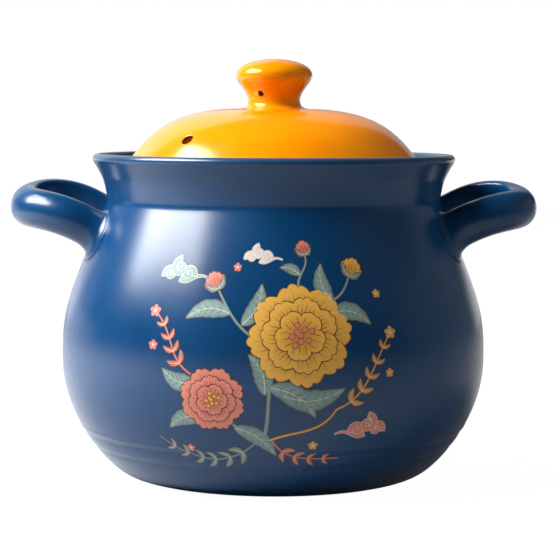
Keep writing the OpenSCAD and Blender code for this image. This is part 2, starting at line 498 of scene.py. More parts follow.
def fit_piece(piece: Piece, body: Body, slot: Slot, material: bpy.types.Material,
              *nodes: str) -> None:
    """Give a piece its material and body, and let it stand for nodes of the frame.

    Args:
        piece: the object.
        body: the body that it rides on.
        slot: not used.
        material: its finish.
        nodes: the nodes that it replaces.
    """
    piece.data.materials.append(material)
    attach(piece, body.value)
    if nodes:
        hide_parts(*nodes)
    log.info("%s: %d faces on %s", piece.name, len(piece.data.polygons), body.value)


def add_node(tree: Tree, kind: str, fields: dict[str, Any] | None = None,
             inputs: dict[Any, Any] | None = None) -> bpy.types.Node:
    """Add a shader node with its settings and links.

    Args:
        tree: the node tree.
        kind: the node's type, without its ShaderNode prefix.
        fields: properties of the node.
        inputs: for each input, by name or number, a value or the socket that is linked to it.

    Returns:
        The node.
    """
    node = tree.nodes.new("ShaderNode" + kind)
    for key, value in (fields or {}).items():
        setattr(node, key, value)
    for key, value in (inputs or {}).items():
        if isinstance(value, bpy.types.NodeSocket):
            tree.links.new(value, node.inputs[key])
        else:
            node.inputs[key].default_value = value
    return node


def new_material(name: str) -> tuple[bpy.types.Material, Tree]:
    """Start a node material.

    Args:
        name: what it is called.

    Returns:
        The material and its empty tree.
    """
    material = bpy.data.materials.new(name)
    material.use_nodes = True
    material.node_tree.nodes.clear()
    return material, material.node_tree


def noise(tree: Tree, size: float, detail: float) -> Any:
    """Noise from 0 to 1 all through the object.

    Args:
        tree: the node tree.
        size: how large its clouds are, in millimetres.
        detail: how many layers of finer clouds lie over them.

    Returns:
        The socket of its value.
    """
    return add_node(tree, "TexNoise", inputs={
        "Vector": add_node(tree, "TexCoord").outputs["Object"], "Scale": 1 / (size * MM),
        "Detail": detail}).outputs[0]


def stored(tree: Tree, name: str) -> Any:
    """The value that a piece keeps at each point under a name."""
    return add_node(tree, "Attribute", {"attribute_name": name}).outputs["Fac"]


def spread(tree: Tree, value: Any, low: float, high: float, start: float = 0.3,
           stop: float = 0.7, kind: str = "LINEAR") -> Any:
    """Spread what lies between two values over another range, and hold it there.

    Args:
        tree: the node tree.
        value: the socket that is spread.
        low: what start turns to.
        high: what stop turns to.
        start: the lower value.
        stop: the upper value.
        kind: how it goes from one to the other.

    Returns:
        The socket of the result.
    """
    return add_node(tree, "MapRange", {"interpolation_type": kind}, {
        "Value": value, "From Min": start, "From Max": stop, "To Min": low,
        "To Max": high}).outputs[0]


def blend(tree: Tree, share: Any, first: Any, second: Any, kind: str = "MIX") -> Any:
    """Mix two colours by a share from 0 to 1."""
    return add_node(tree, "Mix", {"data_type": "RGBA", "blend_type": kind}, {
        0: share, 6: first, 7: second}).outputs[2]


def bump(tree: Tree, height: Any, distance: float, **under: Any) -> Any:
    """Tilt the surface by a height that stands for a distance in millimetres."""
    return add_node(tree, "Bump", inputs={
        "Height": height, "Strength": 1.0, "Distance": distance * MM, **under}).outputs[0]


def finish(tree: Tree, shader: bpy.types.Node, kind: str = "OutputMaterial") -> None:
    """Link a shader to the tree's output."""
    tree.links.new(shader.outputs[0], add_node(tree, kind).inputs["Surface"])


@dataclass(frozen=True)
class FiredGlaze:
    """A glaze fired on stoneware, over bare clay at the foot and a pale liner inside.

    Cloudy pooling shifts its colour a little, it breaks lighter where it runs thin over an
    edge, and the same paler colour is a painted reflection on the pot's lip and a painted
    highlight round the lid's vent. Holes are darkened by painted shade. A faint orange peel
    unsettles its reflections, which its gleam tints.
    """

    name: str
    colour: str
    pooled: str
    # Paler colour where the glaze runs thin, also painted as a reflection on the lip and a
    # highlight round the vent.
    thin: str
    roughness: float
    ior: float
    coat: float
    peel_height: float
    gleam: str = "#ffffff"
    liner: str = "#d2c8b2"
    clay: str = "#a88c6e"
    # Dark brown painted shade in and round the vent and the pin hole.
    hole_shade_colour: str = "#4a1d06"
    cloud_size: float = 38.0
    peel_size: float = 2.6
    grain_size: float = 0.9
    grain_height: float = 0.08
    clay_roughness: float = 0.85
    uneven: float = 0.02

    def material(self) -> bpy.types.Material:
        """Build the glaze's material.

        Returns:
            The material, which reads the covers from vertex attributes.
        """
        material, tree = new_material(self.name)
        clouds, grain = noise(tree, self.cloud_size, 3.0), noise(tree, self.grain_size, 2.0)
        covers = {cover: stored(tree, cover.value) for cover in Cover}
        colour = blend(tree, clouds, linear(self.pooled), linear(self.colour))
        # Thin glaze with its painted reflection and highlight, liner, bare clay, and painted shade
        # in holes, in turn.
        for cover, shade in ((Cover.THIN, self.thin), (Cover.LINER, self.liner),
                             (Cover.BARE, self.clay), (Cover.STAIN, self.hole_shade_colour)):
            colour = blend(tree, covers[cover], colour, linear(shade))
        # The grain darkens and lightens the colour by about a twentieth.
        colour = blend(tree, 1.0, colour, spread(tree, grain, 0.94, 1.04), "MULTIPLY")
        satin = spread(tree, clouds, self.roughness - self.uneven, self.roughness + self.uneven)
        rough = add_node(tree, "Mix", {"data_type": "FLOAT"}, {
            0: covers[Cover.BARE], 2: satin, 3: self.clay_roughness}).outputs[0]
        peel = bump(tree, noise(tree, self.peel_size, 1.0), self.peel_height)
        sandy = add_node(tree, "Math", {"operation": "MULTIPLY"}, {
            0: grain, 1: covers[Cover.BARE]}).outputs[0]
        finish(tree, add_node(tree, "BsdfPrincipled", inputs={
            "Base Color": colour, "Roughness": rough, "IOR": self.ior,
            "Normal": bump(tree, sandy, self.grain_height, Normal=peel),
            "Coat Weight": self.coat, "Coat Roughness": 0.15, "Coat IOR": 1.5,
            "Specular Tint": linear(self.gleam)}))
        return material


# Satin navy glaze, sprayed and fired: deep blue, a soft broad sheen and paler thin edges;
# the greyer lip is partly thin glaze and partly a painted reflection.
NAVY_SATIN = FiredGlaze("satin_navy_glaze", colour="#0a426f", pooled="#06355f", thin="#45525c",
                        roughness=0.25, ior=1.5, coat=0.0, peel_height=0.006)
# Glossy yellow-orange glaze, dipped and fired: warm, wet-looking, with orange pooled hollows,
# and a paler ring round the vent that is partly thin glaze and partly a painted highlight.
AMBER_GLOSS = FiredGlaze("glossy_amber_glaze", colour="#fa9a04", pooled="#e87e00", thin="#ffac28",
                         roughness=0.17, ior=1.5, coat=0.35, peel_height=0.004, gleam="#fff2d2")
# The same glaze on the knob, a deeper orange all over that is painted shade for the shadow
# on its neck, with a warmer gleam.
KNOB_AMBER = FiredGlaze("shaded_knob_amber_glaze", colour="#ea9604", pooled="#d47400", thin="#ffac28",
                        roughness=0.17, ior=1.55, coat=0.1, peel_height=0.004, gleam="#ffe494")


@dataclass(frozen=True)
class Enamel:
    """An overglaze enamel, brushed on and fired: matt, even, a little thicker in its middle.

    The brush leaves streaks, which shift its shade and its roughness and stand up as ridges.
    """

    name: str
    colour: str
    shade: str
    streak_size: float = 1.6
    streak_shade: float = 0.12
    streak_height: float = 0.01
    roughness: Pair = (0.36, 0.52)

    def material(self) -> bpy.types.Material:
        """Build the enamel's material.

        Returns:
            The material, whose colour runs to its shade by a vertex attribute.
        """
        material, tree = new_material(self.name)
        brush = noise(tree, self.streak_size, 2.0)
        share = add_node(tree, "Math", {"operation": "ADD", "use_clamp": True}, {
            0: stored(tree, "shade"),
            1: spread(tree, brush, -self.streak_shade, self.streak_shade)}).outputs[0]
        finish(tree, add_node(tree, "BsdfPrincipled", inputs={
            "Base Color": blend(tree, share, linear(self.colour), linear(self.shade)),
            "Roughness": spread(tree, brush, *self.roughness, 0.0, 1.0), "IOR": 1.5,
            "Normal": bump(tree, brush, self.streak_height)}))
        return material


class Ink(Enum):
    """The enamels of the decoration."""

    # Ochre gold that browns in its hollows: the large peony, a bud and the right sprig.
    GOLD = Enamel("gold_enamel", "#e0ac4a", "#b87424")
    # Dusty coral over brick red: the small peony, two buds and two sprigs.
    CORAL = Enamel("coral_enamel", "#d4806f", "#b84a37")
    # Grey green that turns blue in its shade: leaves, stems and a cloud.
    SAGE = Enamel("sage_enamel", "#7d9c96", "#426a70")
    # Warm off-white: midribs, the rims of clouds and the hearts of blossoms.
    WHITE = Enamel("white_enamel", "#d8d0c6", "#b8a598")
    # Dark brown, in fine lines: every outline and vein.
    BROWN = Enamel("brown_enamel", "#653c19", "#452814")


@dataclass
class PotBody:
    """The thrown pot: foot, belly, shoulder, flared collar, rolled lip and lid ledge.

    A pull is how far a curve follows its first direction at one end of it. Those of heel and
    collar are shares of its height, and the others are in millimetres.
    """

    foot_radius: float = 69.5
    heel: Pair = (95.2, 10.8)
    heel_pulls: Pair = (0.55, 0.41)
    belly: Pair = (120.0, 68.0)
    belly_pulls: Pair = (30.6, 25.8)
    groove: Pair = (94.3, 156.0)
    groove_pull: Pair = (61.4 * 0.396, -61.4 * 0.918)
    collar_lean: float = 0.8
    collar_pulls: Pair = (0.35, 0.33)
    wall: float = 6.5
    floor: float = 8.0
    foot_ring: float = 9.0
    foot_hollow: float = 1.6
    foot_bevel: float = 4.0
    lip_radius: float = 102.8
    rim_height: float = 183.1
    collar_wall: float = 5.6
    ledge_height: float = 171.1
    ledge_bevel: float = 1.2
    throat_radius: float = 80.2
    throat_depth: float = 18.0
    flare: float = 33.0
    softness: float = 0.6
    rows: int = 330
    columns: int = 264

    def __post_init__(self) -> None:
        """Draw the profile and throw its bands.

        Heel, belly, shoulder and collar are cubic curves, and the lip is half a circle. The
        inside is the same curves moved in by the wall, with the ledge and the throat between.
        """
        (heel_r, heel_z), (belly_r, belly_z), (neck_r, neck_z) = \
            self.heel, self.belly, self.groove
        before, after = self.heel_pulls[0], self.heel_pulls[1] * heel_z
        foot = Cubic((self.foot_radius, 0.0),
                     (self.foot_radius + before * (heel_r - self.foot_radius), 0.0),
                     (heel_r - before * heel_z, heel_z - before * heel_z), self.heel)
        belly = Cubic(self.heel, (heel_r + after, heel_z + after),
                      (belly_r, belly_z - self.belly_pulls[0]), self.belly)
        shoulder = Cubic(self.belly, (belly_r, belly_z + self.belly_pulls[1]),
                         (neck_r + self.groove_pull[0], neck_z + self.groove_pull[1]),
                         self.groove)
        lean = math.radians(self.flare)
        bead = self.collar_wall / 2
        middle = np.array([self.lip_radius - bead, self.rim_height - bead])
        top = middle + bead * np.array([math.cos(lean), -math.sin(lean)])
        low, high = (pull * (self.rim_height - neck_z) for pull in self.collar_pulls)
        collar = Cubic(self.groove, (neck_r + self.collar_lean, neck_z + low),
                       top - high * np.array([math.sin(lean), math.cos(lean)]), top)
        even, thick = (self.wall, self.wall), (self.collar_wall, self.collar_wall)
        inner_collar = collar.points(inset=thick)[::-1]
        inner_collar = inner_collar[inner_collar[:, 1] > self.ledge_height + 0.4]
        inner_shoulder = shoulder.points(inset=even)[::-1]
        throat, ledge, bevel = self.throat_radius, self.ledge_height, self.ledge_bevel
        inner_shoulder = inner_shoulder[inner_shoulder[:, 1] < ledge - self.throat_depth]
        hollow = self.foot_radius - self.foot_ring
        self.profile = Profile({
            "underside": np.array([[0.0, self.foot_hollow],
                                   [hollow - self.foot_bevel, self.foot_hollow]]),
            "foot": np.array([[hollow, 0.0], [self.foot_radius, 0.0]]),
            "heel": foot.points()[1:],
            "belly": belly.points()[1:],
            "shoulder": shoulder.points()[1:],
            "collar": collar.points()[1:],
            "lip": arc(middle, bead, -lean, math.pi - lean, 24)[1:-1],
            "inner_collar": inner_collar,
            "ledge": np.array([[inner_collar[-1, 0] - 1, ledge], [throat + bevel, ledge]]),
            "throat": np.array([[throat, ledge - bevel], [throat, ledge - 6.0]]),
            "inside": np.concatenate([
                inner_shoulder, belly.points(inset=even)[::-1],
                foot.points(inset=(self.floor, self.wall))[::-1], [[0.0, self.floor]]]),
        }, self.softness)
        # Where each band that fingers or tools left is, how far it stands out, and its width.
        thrown = ((neck_z + 13.5, "collar", -0.12, 2.6), (neck_z + 6.0, "collar", 0.08, 2.2),
                  (27.0, "belly", -0.32, 1.9), (30.2, "belly", 0.18, 1.6),
                  (19.0, "belly", -0.28, 1.7))
        self.bands = [(self.profile.where(height, run), out, width)
                      for height, run, out, width in thrown]
        self.profile.throw(self.bands)

    def covers(self, along: Array) -> dict[Cover, Array]:
        """Where the clay is bare, the liner lies, and the glaze runs thin with a painted
        reflection on the lip, from 0 to 1.

        Each cover ends about a millimetre from the edge of its run, with an edge as soft.

        Args:
            along: lengths along the profile.

        Returns:
            A value for each length, by cover.
        """
        (foot_a, foot_b), (ledge_a, ledge_b), (lip_a, lip_b) = (
            self.profile.marks[name] for name in ("foot", "ledge", "lip"))
        foot = smooth((along - foot_a + 1.2) / 1.0) * smooth((foot_b + 0.8 - along) / 1.0)
        seat = smooth((along - ledge_a - 1.0) / 1.2) * smooth((ledge_b - along) / 1.2)
        # The lip's paler grey is partly thin glaze and partly a painted reflection.
        return {Cover.BARE: foot + seat, Cover.LINER: smooth((along - ledge_b) / 1.4),
                Cover.THIN: 0.8 * bell(along, lip_a + 0.72 * (lip_b - lip_a), 3.0)}

    def outside(self, height: Array | float) -> tuple[Array, Array]:
        """The pot's outside between belly and collar.

        Args:
            height: heights.

        Returns:
            The radius at each height, and how fast it grows there.
        """
        marks, line, along = self.profile.marks, self.profile.line, self.profile.along
        part = (along >= marks["belly"][0]) & (along <= marks["collar"][1])
        radii, heights = line[part].T
        slope = np.gradient(radii, heights)
        return np.interp(height, heights, radii), np.interp(height, heights, slope)

    def build(self) -> Piece:
        """Make the pot as one closed turned form.

        Returns:
            The piece.
        """
        # Rows crowd at the corners of the profile and over its bands.
        places = [(mark, 2.6, 3.0) for name in ("foot", "lip", "ledge", "throat")
                  for mark in self.profile.marks[name]]
        places += [(middle, 2.2 * width, 2.6) for middle, _, width in self.bands]
        form = TurnedForm(self.profile, self.rows, self.columns, places)
        return form.piece("thrown_pot", self.covers(form.lengths))


@dataclass
class LoopHandle:
    """A loop handle: one band swept round a bend, luted to the shoulder with slip.

    The way out of its section is taken between two nearby angles on either side of a point.
    """

    pot: PotBody
    side: Side
    root_height: float = 143.5
    reach: float = 40.0
    rise: float = 10.9
    setback: float = 6.6
    spacing: float = 54.0
    bend: float = 29.0
    band_height: float = 22.0
    swell: float = 9.7
    back: float = 3.8
    squareness: float = 0.45
    lean: float = 12.0
    dip: float = 7.0
    root_swell: float = 2.6
    root_length: float = 9.0
    fillet: float = 3.2
    depth: float = 2.5
    nearby: float = 0.02
    sides: int = 96
    arm_rows: int = 46
    bend_rows: int = 90

    def __post_init__(self) -> None:
        """Work out where the loop starts, bends, is highest and ends."""
        shoulder = float(self.pot.outside(self.root_height)[0])
        self.tip = shoulder + self.reach
        self.crest = self.tip - self.setback
        self.crest_reach = self.crest - shoulder
        self.root = math.sqrt(shoulder ** 2 - (self.spacing / 2) ** 2)
        self.bend_start = self.tip - self.bend

    def _section(self, angle: Array, grow: Array) -> tuple[Array, Array]:
        """The band's section: an ellipse outside, and a squared-off curve on its flat inside.

        Outside the angle's cosine and sine are scaled to the swell and half the height. Inside
        both are first raised to the squareness, with their signs kept.

        Args:
            angle: angles round the section.
            grow: how much larger it is than the plain band.

        Returns:
            Distances outwards and upwards from the middle of the band.
        """
        cosine, sine = np.cos(angle), np.sin(angle)
        half = self.band_height / 2 + grow
        flat_out = -(self.back + grow) * abs(cosine) ** self.squareness
        flat_up = half * np.sign(sine) * abs(sine) ** self.squareness
        outer = cosine >= 0
        return (np.where(outer, (self.swell + grow) * cosine, flat_out),
                np.where(outer, half * sine, flat_up))

    def _angles(self) -> Array:
        """Angles whose points lie evenly along the section's outline.

        Returns:
            As many angles as the band has sides.
        """
        fine = np.linspace(-math.pi / 2, 1.5 * math.pi, 4001)
        out, up = self._section(fine, np.zeros_like(fine))
        length = np.concatenate([[0.0], np.cumsum(np.hypot(np.diff(out), np.diff(up)))])
        return np.interp(np.linspace(0.0, length[-1], self.sides, endpoint=False), length, fine)

    def _sweep(self, reach: Array, side: Array, along: Array, angle: Array,
               widen: Array) -> Array:
        """Points of the band.

        The path climbs as the rise times one less the square of the share of the reach that is
        left to its crest, and drops by the same curve to its tip. The band stands square to
        the climb, leans out towards the tip, and swells with the square of the nearness to its
        root.

        Args:
            reach: distance of the path from the pot's axis.
            side: distance of the path from the loop's middle line.
            along: direction of travel in plan, as reach and side, in a last axis of two.
            angle: angle round the section.
            widen: how far the surface moves out of the section.

        Returns:
            Points in the pot's frame, for a handle on the right.
        """
        left = (self.crest - reach) / self.crest_reach
        height = self.root_height + self.rise * (1 - left ** 2)
        slope = 2 * self.rise * left / self.crest_reach
        travel = np.stack([along[..., 0], along[..., 1], slope * along[..., 0]], axis=-1)
        travel /= np.linalg.norm(travel, axis=-1, keepdims=True)
        outer = np.maximum(0.0, 1 - (self.tip - reach) / self.reach)
        tilt = np.arctan(np.maximum(0.0, slope)) + math.radians(self.lean) * outer
        square = np.stack([-np.sin(tilt), 0 * tilt, np.cos(tilt)], axis=-1)
        up = square - np.sum(square * travel, axis=-1, keepdims=True) * travel
        up /= np.linalg.norm(up, axis=-1, keepdims=True)
        out = np.cross(travel, up)
        near = np.clip(1 - (reach - self.root) / self.root_length, 0.0, 1.0)
        grow = self.root_swell * near ** 2
        q_out, q_up = self._section(angle, grow)
        ahead_out, ahead_up = self._section(angle + self.nearby, grow)
        behind_out, behind_up = self._section(angle - self.nearby, grow)
        n_out, n_up = ahead_up - behind_up, behind_out - ahead_out
        size = np.hypot(n_out, n_up)
        q_out, q_up = q_out + widen * n_out / size, q_up + widen * n_up / size
        point = np.stack([reach, side, height], axis=-1) \
            + q_out[..., None] * out + q_up[..., None] * up
        pivot = self.root_height + self.rise / 2
        turn = math.radians(self.dip)
        y, z = point[..., 1], point[..., 2] - pivot
        return np.stack([point[..., 0], y * math.cos(turn) - z * math.sin(turn),
                         pivot + y * math.sin(turn) + z * math.cos(turn)], axis=-1)

    def _clear(self, point: Array) -> Array:
        """How far points lie outside the pot, square to its surface."""
        radius, slope = self.pot.outside(point[..., 2])
        return (np.hypot(point[..., 0], point[..., 1]) - radius) / np.sqrt(1 + slope ** 2)

    def _arm(self, sign: int, angle: Array) -> Array:
        """Reach of each row and side of one arm, from inside the wall to the bend.

        The first row lies at an even depth inside the wall: the reach there is found by
        stepping along the arm by the depth that is still missing.

        Args:
            sign: minus one for the front arm, one for the rear arm.
            angle: angles round the section.

        Returns:
            Reaches, with a row for each step along the arm.
        """
        start = np.full_like(angle, self.root)
        way = np.stack([np.full_like(angle, -float(sign)), 0 * angle], axis=-1)
        side = np.full_like(angle, sign * self.spacing / 2)
        for _ in range(12):
            start = start - (self._clear(self._sweep(start, side, way, angle, 0 * angle))
                             + self.depth)
        # The power crowds the rows a little towards the pot.
        share = np.linspace(0.0, 1.0, self.arm_rows, endpoint=False)[:, None] ** 1.15
        return start + (self.bend_start - start) * share

    def build(self) -> Piece:
        """Make the handle as one closed sweep, with a slip fillet where it meets the pot.

        The fillet is a quarter circle between band and pot: its width at a distance d is the
        radius less the root of its square less the square of the radius less d.

        Returns:
            The piece.
        """
        angle = self._angles()
        half = self.spacing / 2
        front, rear = (self._arm(sign, angle) for sign in (-1, 1))
        sweep = np.linspace(-math.pi / 2, math.pi / 2, self.bend_rows)[:, None] + 0 * angle
        reach = np.concatenate([front, self.bend_start + self.bend * np.cos(sweep), rear[::-1]])
        side = np.concatenate([0 * front - half, half * np.sin(sweep), 0 * rear + half])
        flat = np.stack([np.ones_like(front), 0 * front], axis=-1)
        curve = np.stack([-self.bend * np.sin(sweep), half * np.cos(sweep)], axis=-1)
        way = np.concatenate([flat, curve, -flat])
        angles = angle + 0 * reach
        clear = self._clear(self._sweep(reach, side, way, angles, 0 * reach))
        short = np.clip(1 - clear / self.fillet, 0.0, 1.0)
        grid = self._sweep(reach, side, way, angles,
                           self.fillet * (1 - np.sqrt(1 - short ** 2)))
        ends = [grid[row].mean(axis=0)[None] for row in (0, -1)]
        points = np.concatenate([grid.reshape(-1, 3), *ends]) * (self.side.value, 1, 1)
        numbers = np.arange(reach.size).reshape(reach.shape)
        caps = np.concatenate([fan(reach.size, numbers[0, ::-1]),
                               fan(reach.size + 1, numbers[-1])])
        # The glaze runs thin over the band's upper and lower edges.
        edges = bell(np.sin(angles), 1.0, 0.02) + bell(np.sin(angles), -1.0, 0.02)
        thin = np.concatenate([0.5 * edges.ravel(), [0.0, 0.0]])
        return new_piece(f"{self.side.name.lower()}_loop", points,
                         [cells(closed(numbers)), caps],
                         all_covers(len(points), {Cover.THIN: thin}))


@dataclass
class Lid:
    """The lid: a dome with a steam vent, a flat seat and a locating ring under it."""

    radius: float = 86.2
    seat: float = 171.1
    height: float = 37.5
    wall: float = 6.0
    edge: float = 2.2
    slope: float = 51.0
    dome_pulls: Pair = (0.24, 0.74)
    ring_outer: float = 77.7
    ring_wall: float = 5.0
    ring_depth: float = 8.0
    knob_foot: float = 17.6
    vent_radius: float = 3.0
    vent_distance: float = 71.4
    vent_turn: float = -41.0
    vent_edge: float = 0.9
    rows: int = 262
    columns: int = 264

    def __post_init__(self) -> None:
        """Draw the profile, from the axis under the crown out to the edge and back over it.

        The dome is a cubic curve, and its inside is the same curve moved in by the wall. The
        ring's foot and the edge are arcs of circles.
        """
        crown = self.seat + self.height
        lean = math.radians(self.slope)
        middle = np.array([self.radius - self.edge, self.seat + self.edge])
        end = middle + self.edge * np.array([math.sin(lean), math.cos(lean)])
        low, high = (pull * self.radius for pull in self.dome_pulls)
        dome = Cubic(end, end + low * np.array([-math.cos(lean), math.sin(lean)]),
                     (high, crown), (self.knob_foot, crown))
        inner = dome.points(inset=(self.wall, self.wall))[::-1]
        ring_inner, half = self.ring_outer - self.ring_wall, self.ring_wall / 2
        ring = np.array([ring_inner + half, self.seat - self.ring_depth + half])
        self.profile = Profile({
            "inner_dome": np.concatenate([[[0.0, crown - self.wall]],
                                          inner[inner[:, 0] < ring_inner - 1.0]]),
            "ring": arc(ring, half, math.pi, 2 * math.pi, 14),
            "seat": np.array([[self.ring_outer, self.seat], [middle[0], self.seat]]),
            "edge": arc(middle, self.edge, -math.pi / 2, math.pi / 2 - lean, 11),
            "dome": dome.points()[1:],
            "crown": np.array([[0.0, crown]]),
        }, softness=0.5)

    def _vent(self) -> Bore:
        """Find the steam vent's mouths: it is square to the dome where it opens.

        Returns:
            The bore.
        """
        profile = self.profile
        line, along = profile.line, profile.along
        outside = along > profile.marks["dome"][0]
        outer = float(np.interp(-self.vent_distance, -line[outside, 0], along[outside]))
        start = np.array(profile.at(outer))
        out = profile.outward()[int(np.argmin(abs(along - outer)))]
        inside = along < profile.marks["inner_dome"][1]
        offset = line[inside] - start
        across = offset[:, 0] * out[1] - offset[:, 1] * out[0]
        inner = float(along[inside][int(np.argmin(abs(across)))])
        return Bore(outer, inner, math.radians(self.vent_turn), self.vent_radius, self.vent_edge)

    def build(self) -> Piece:
        """Make the lid as one closed turned form, with its vent through it.

        Returns:
            The piece.
        """
        marks, vent = self.profile.marks, self._vent()
        # Rows crowd at the corners of the profile and round both mouths of the vent.
        places = [(mark, 2.2, 2.5) for name in ("ring", "edge") for mark in marks[name]]
        places += [(mouth, 13.0, 1.6) for mouth in (vent.outer, vent.inner)]
        form = TurnedForm(self.profile, self.rows, self.columns, places, vent)
        past_ring = smooth((form.lengths - marks["ring"][0]) / 1.5)
        past_seat = smooth((form.lengths - marks["seat"][1]) / 1.2)
        # The glaze runs thin over the edge. The paler ring round the vent is partly thin glaze and
        # partly a painted highlight, and painted shade darkens the vent's bore and mouth.
        away = form.away(vent) - vent.radius
        return form.piece("domed_lid", {
            Cover.LINER: 1 - past_ring, Cover.BARE: past_ring * (1 - past_seat),
            Cover.THIN: (0.35 * bell(form.lengths, marks["edge"][1], 2.4)
                         + 0.3 * bell(away, 0.9, 0.6)),
            Cover.STAIN: 1 - smooth((away - 0.1) / 0.9)})


@dataclass
class Knob:
    """The hollow knob: a waisted neck under a flattened head, with a pin hole for its air.

    The levels of waist, head and pin hole, and the pulls of its neck, are shares of its height.
    Those of its cap are a share of the cap's height and one of its radius.
    """

    crown: float = 208.6
    radius: float = 21.6
    neck: float = 14.8
    height: float = 28.0
    wall: float = 6.0
    foot: float = 17.6
    skirt: float = 1.9
    waist_level: float = 0.13
    head_level: float = 0.67
    neck_pulls: Pair = (0.27, 0.17)
    cap_pulls: Pair = (0.53, 0.66)
    pin_level: float = 0.3
    pin_radius: float = 1.5
    pin_edge: float = 0.35
    pin_turn: float = -28.0
    rows: int = 190
    columns: int = 200

    def build(self) -> Piece:
        """Make the knob as one closed turned form, with its pin hole into the hollow.

        Flare, neck and cap are cubic curves.

        Returns:
            The piece.
        """
        top = self.crown + self.height
        waist = self.crown + self.waist_level * self.height
        head = self.crown + self.head_level * self.height
        low, high = (pull * self.height for pull in self.neck_pulls)
        flare = Cubic((self.foot + self.skirt, self.crown + 0.05),
                      (self.foot - 1.1, self.crown + 0.1), (self.neck, waist - 1.9),
                      (self.neck, waist))
        neck = Cubic((self.neck, waist), (self.neck, waist + low), (self.radius, head - high),
                     (self.radius, head))
        cap = Cubic((self.radius, head), (self.radius, head + self.cap_pulls[0] * (top - head)),
                    (self.cap_pulls[1] * self.radius, top), (0.0, top))
        bore_neck = self.neck - self.wall
        bore_head = self.radius - self.wall - 1.5
        roof = top - self.wall
        profile = Profile({
            "hollow": np.array([[0.0, roof], [bore_head - 6, roof], [bore_head - 2.5, roof - 0.7],
                                [bore_head, head], [bore_neck, waist + 0.2 * self.height],
                                [bore_neck, self.crown]]),
            "sole": np.array([[self.foot, self.crown - 0.15]]),
            "flare": flare.points(),
            "neck": neck.points()[1:],
            "head": cap.points()[1:],
        }, softness=0.35)
        outer, inner = (profile.where(self.crown + self.pin_level * self.height, run)
                        for run in ("neck", "hollow"))
        pin = Bore(outer, inner, math.radians(self.pin_turn), self.pin_radius, self.pin_edge)
        places = [(outer, 3.2, 4.0), (inner, 3.2, 4.0), (profile.marks["flare"][0], 1.5, 2.0)]
        form = TurnedForm(profile, self.rows, self.columns, places, pin)
        # Painted shade darkens the pin hole and its mouth.
        return form.piece("hollow_knob", {
            Cover.BARE: 1 - smooth((form.lengths - profile.marks["hollow"][1]) / 1.0),
            Cover.STAIN: 1 - smooth((form.away(pin) - pin.radius) / 0.8)})


